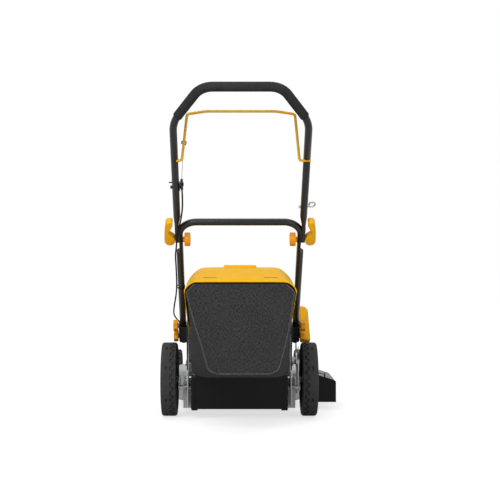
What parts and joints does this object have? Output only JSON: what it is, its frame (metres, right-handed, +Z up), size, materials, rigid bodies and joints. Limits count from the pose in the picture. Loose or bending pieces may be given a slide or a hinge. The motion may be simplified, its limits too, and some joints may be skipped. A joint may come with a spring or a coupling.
{
  "type": "walk-behind rotary lawn mower",
  "caption": "Walk-behind petrol rotary mower with rear grass bag, folding tube handle with bail, cranked axles set for height by one lever, side deflector and rear flap.",
  "frame": {"origin": "on the ground, in the middle of the underside of the whole mower's box", "axes": "+Y forwards, the way the mower is pushed; +X to the operator's right; +Z up"},
  "size_m": [0.61, 1.4776, 1.0351],
  "materials": {
    "deck_paint": "satin silver-grey paint on cast alloy",
    "black_tube": "satin black powder coat",
    "zinc_steel": "bright zinc",
    "knob_plastic": "orange-yellow moulded",
    "cover_plastic": "semi-gloss yellow moulded",
    "bail_coat": "yellow dipped coating",
    "black_plastic": "black moulded",
    "foam": "matt foam sleeve",
    "tread": "matt rubber",
    "bag_cloth": "dark grey woven polyester",
    "cast_alloy": "as cast",
    "muffler_steel": "heat-proof black",
    "plug_ceramic": "glazed",
    "cable_jacket": "smooth black"
  },
  "bodies": {
    "chassis": {"deck_shell": "deck_paint", "handle_brackets": "black_tube", "fixing_bolts": "zinc_steel", "lower_handle": "black_tube", "cable_lower": "cable_jacket", "cable_tie": "black_plastic", "axle_bushes": "black_plastic", "height_quadrant": "zinc_steel", "hinge_rods": "zinc_steel", "deflector_spring": "zinc_steel", "engine_block": "cast_alloy", "cylinder_head": "cast_alloy", "spark_plug": "plug_ceramic", "blower_housing": "black_plastic", "recoil_cover": "black_plastic", "fuel_tank": "black_plastic", "air_cleaner": "black_plastic", "carburettor": "cast_alloy", "muffler": "muffler_steel", "brake_bracket": "black_tube"},
    "upper_handle": {"upper_handle": "black_tube", "foam_grip": "foam", "fold_bolts": "zinc_steel", "cable_stop": "black_tube", "cable_upper": "cable_jacket", "rope_guide": "zinc_steel"},
    "bail": {"bail": "bail_coat"},
    "right_cam_lever": {"right_cam_lever": "knob_plastic"},
    "left_cam_lever": {"left_cam_lever": "knob_plastic"},
    "right_tension_knob": {"right_tension_knob": "knob_plastic"},
    "left_tension_knob": {"left_tension_knob": "knob_plastic"},
    "right_lower_star_knob": {"right_lower_star_knob": "knob_plastic"},
    "right_upper_star_knob": {"right_upper_star_knob": "knob_plastic"},
    "left_lower_star_knob": {"left_lower_star_knob": "knob_plastic"},
    "left_upper_star_knob": {"left_upper_star_knob": "knob_plastic"},
    "rear_axle": {"rear_axle": "zinc_steel", "height_lever": "zinc_steel", "height_grip": "knob_plastic"},
    "front_axle": {"front_axle": "zinc_steel"},
    "height_link": {"height_link": "zinc_steel"},
    "rear_right_wheel": {"rear_right_tyre": "tread", "rear_right_rim": "black_plastic"},
    "rear_left_wheel": {"rear_left_tyre": "tread", "rear_left_rim": "black_plastic"},
    "front_right_wheel": {"front_right_tyre": "tread", "front_right_rim": "black_plastic"},
    "front_left_wheel": {"front_left_tyre": "tread", "front_left_rim": "black_plastic"},
    "cutter": {"crankshaft": "zinc_steel", "blade_adapter": "black_tube", "blade": "black_tube", "blade_bolt": "zinc_steel"},
    "fuel_cap": {"fuel_cap": "black_plastic"},
    "dipstick": {"dipstick": "black_plastic"},
    "rear_guard": {"rear_guard": "black_plastic"},
    "trailing_shield": {"trailing_shield": "black_plastic"},
    "side_deflector": {"side_deflector": "black_plastic"},
    "bag": {"bag_fabric": "bag_cloth", "bag_cover": "cover_plastic", "bag_frame": "zinc_steel"}
  },
  "joints": [
    {"name": "handle_fold", "type": "hinge", "parent": "chassis", "child": "upper_handle", "pos_m": [-0.039, -0.30336, 0.59966], "axis": [-1, 0, 0], "range_deg": [0, 150], "deforming": ["cable_lower"]},
    {"name": "bail_pull", "type": "hinge", "parent": "upper_handle", "child": "bail", "pos_m": [-0.039, -0.54237, 0.82876], "axis": [1, 0, 0], "range_deg": [0, 14], "stiffness_Nm_per_rad": 12, "springref_deg": -5.73},
    {"name": "right_cam_release", "type": "hinge", "parent": "upper_handle", "child": "right_cam_lever", "pos_m": [0.1809, -0.30336, 0.59966], "axis": [0, 0.7071, 0.7071], "range_deg": [0, 120]},
    {"name": "right_tension_turn", "type": "hinge", "parent": "upper_handle", "child": "right_tension_knob", "pos_m": [0.126, -0.30336, 0.59966], "axis": [1, 0, 0], "continuous": true},
    {"name": "right_lower_knob_turn", "type": "hinge", "parent": "chassis", "child": "right_lower_star_knob", "pos_m": [0.176, 0.02261, 0.27369], "axis": [1, 0, 0], "continuous": true},
    {"name": "right_upper_knob_turn", "type": "hinge", "parent": "chassis", "child": "right_upper_star_knob", "pos_m": [0.176, -0.01416, 0.31046], "axis": [1, 0, 0], "continuous": true},
    {"name": "left_cam_release", "type": "hinge", "parent": "upper_handle", "child": "left_cam_lever", "pos_m": [-0.2589, -0.30336, 0.59966], "axis": [0, -0.7071, -0.7071], "range_deg": [0, 120]},
    {"name": "left_tension_turn", "type": "hinge", "parent": "upper_handle", "child": "left_tension_knob", "pos_m": [-0.204, -0.30336, 0.59966], "axis": [-1, 0, 0], "continuous": true},
    {"name": "left_lower_knob_turn", "type": "hinge", "parent": "chassis", "child": "left_lower_star_knob", "pos_m": [-0.254, 0.02261, 0.27369], "axis": [-1, 0, 0], "continuous": true},
    {"name": "left_upper_knob_turn", "type": "hinge", "parent": "chassis", "child": "left_upper_star_knob", "pos_m": [-0.254, -0.01416, 0.31046], "axis": [-1, 0, 0], "continuous": true},
    {"name": "height_set", "type": "hinge", "parent": "chassis", "child": "rear_axle", "pos_m": [-0.039, -0.02508, 0.10448], "axis": [-1, 0, 0], "range_deg": [0, 45]},
    {"name": "front_height", "type": "hinge", "parent": "chassis", "child": "front_axle", "pos_m": [-0.039, 0.59492, 0.06698], "axis": [-1, 0, 0], "range_deg": [0, 45]},
    {"name": "link_swing", "type": "hinge", "parent": "rear_axle", "child": "height_link", "pos_m": [0.152, -0.06144, 0.19225], "axis": [-1, 0, 0], "range_deg": [-45, 0]},
    {"name": "rear_right_roll", "type": "hinge", "parent": "rear_axle", "child": "rear_right_wheel", "pos_m": [0.198, 0.0313, 0.125], "axis": [-1, 0, 0], "continuous": true},
    {"name": "rear_left_roll", "type": "hinge", "parent": "rear_axle", "child": "rear_left_wheel", "pos_m": [-0.276, 0.0313, 0.125], "axis": [-1, 0, 0], "continuous": true},
    {"name": "front_right_roll", "type": "hinge", "parent": "front_axle", "child": "front_right_wheel", "pos_m": [0.204, 0.6513, 0.0875], "axis": [-1, 0, 0], "continuous": true},
    {"name": "front_left_roll", "type": "hinge", "parent": "front_axle", "child": "front_left_wheel", "pos_m": [-0.282, 0.6513, 0.0875], "axis": [-1, 0, 0], "continuous": true},
    {"name": "blade_spin", "type": "hinge", "parent": "chassis", "child": "cutter", "pos_m": [-0.039, 0.3413, 0.06], "axis": [0, 0, 1], "continuous": true},
    {"name": "fuel_cap_twist", "type": "hinge", "parent": "chassis", "child": "fuel_cap", "pos_m": [0.097, 0.3613, 0.29], "axis": [0, 0, 1], "continuous": true},
    {"name": "dipstick_twist", "type": "hinge", "parent": "chassis", "child": "dipstick", "pos_m": [-0.123, 0.4133, 0.235], "axis": [0, 0, 1], "continuous": true},
    {"name": "guard_lift", "type": "hinge", "parent": "chassis", "child": "rear_guard", "pos_m": [-0.039, 0.0013, 0.322], "axis": [-1, 0, 0], "range_deg": [0, 35]},
    {"name": "shield_swing", "type": "hinge", "parent": "chassis", "child": "trailing_shield", "pos_m": [-0.039, -0.0567, 0.14], "axis": [-1, 0, 0], "range_deg": [-15, 60]},
    {"name": "deflector_lift", "type": "hinge", "parent": "chassis", "child": "side_deflector", "pos_m": [0.213, 0.3073, 0.128], "axis": [0, -1, 0], "range_deg": [0, 75], "stiffness_Nm_per_rad": 0.6, "springref_deg": -22.92, "deforming": ["deflector_spring"]},
    {"name": "bag_lift", "type": "slide", "parent": "chassis", "child": "bag", "axis": [0, -0.9848, 0.1736], "range_m": [0, 0.55]}
  ],
  "couplings": [
    {"joint": "front_height", "follows": "height_set", "ratio": 1},
    {"joint": "link_swing", "follows": "height_set", "ratio": -1}
  ]
}
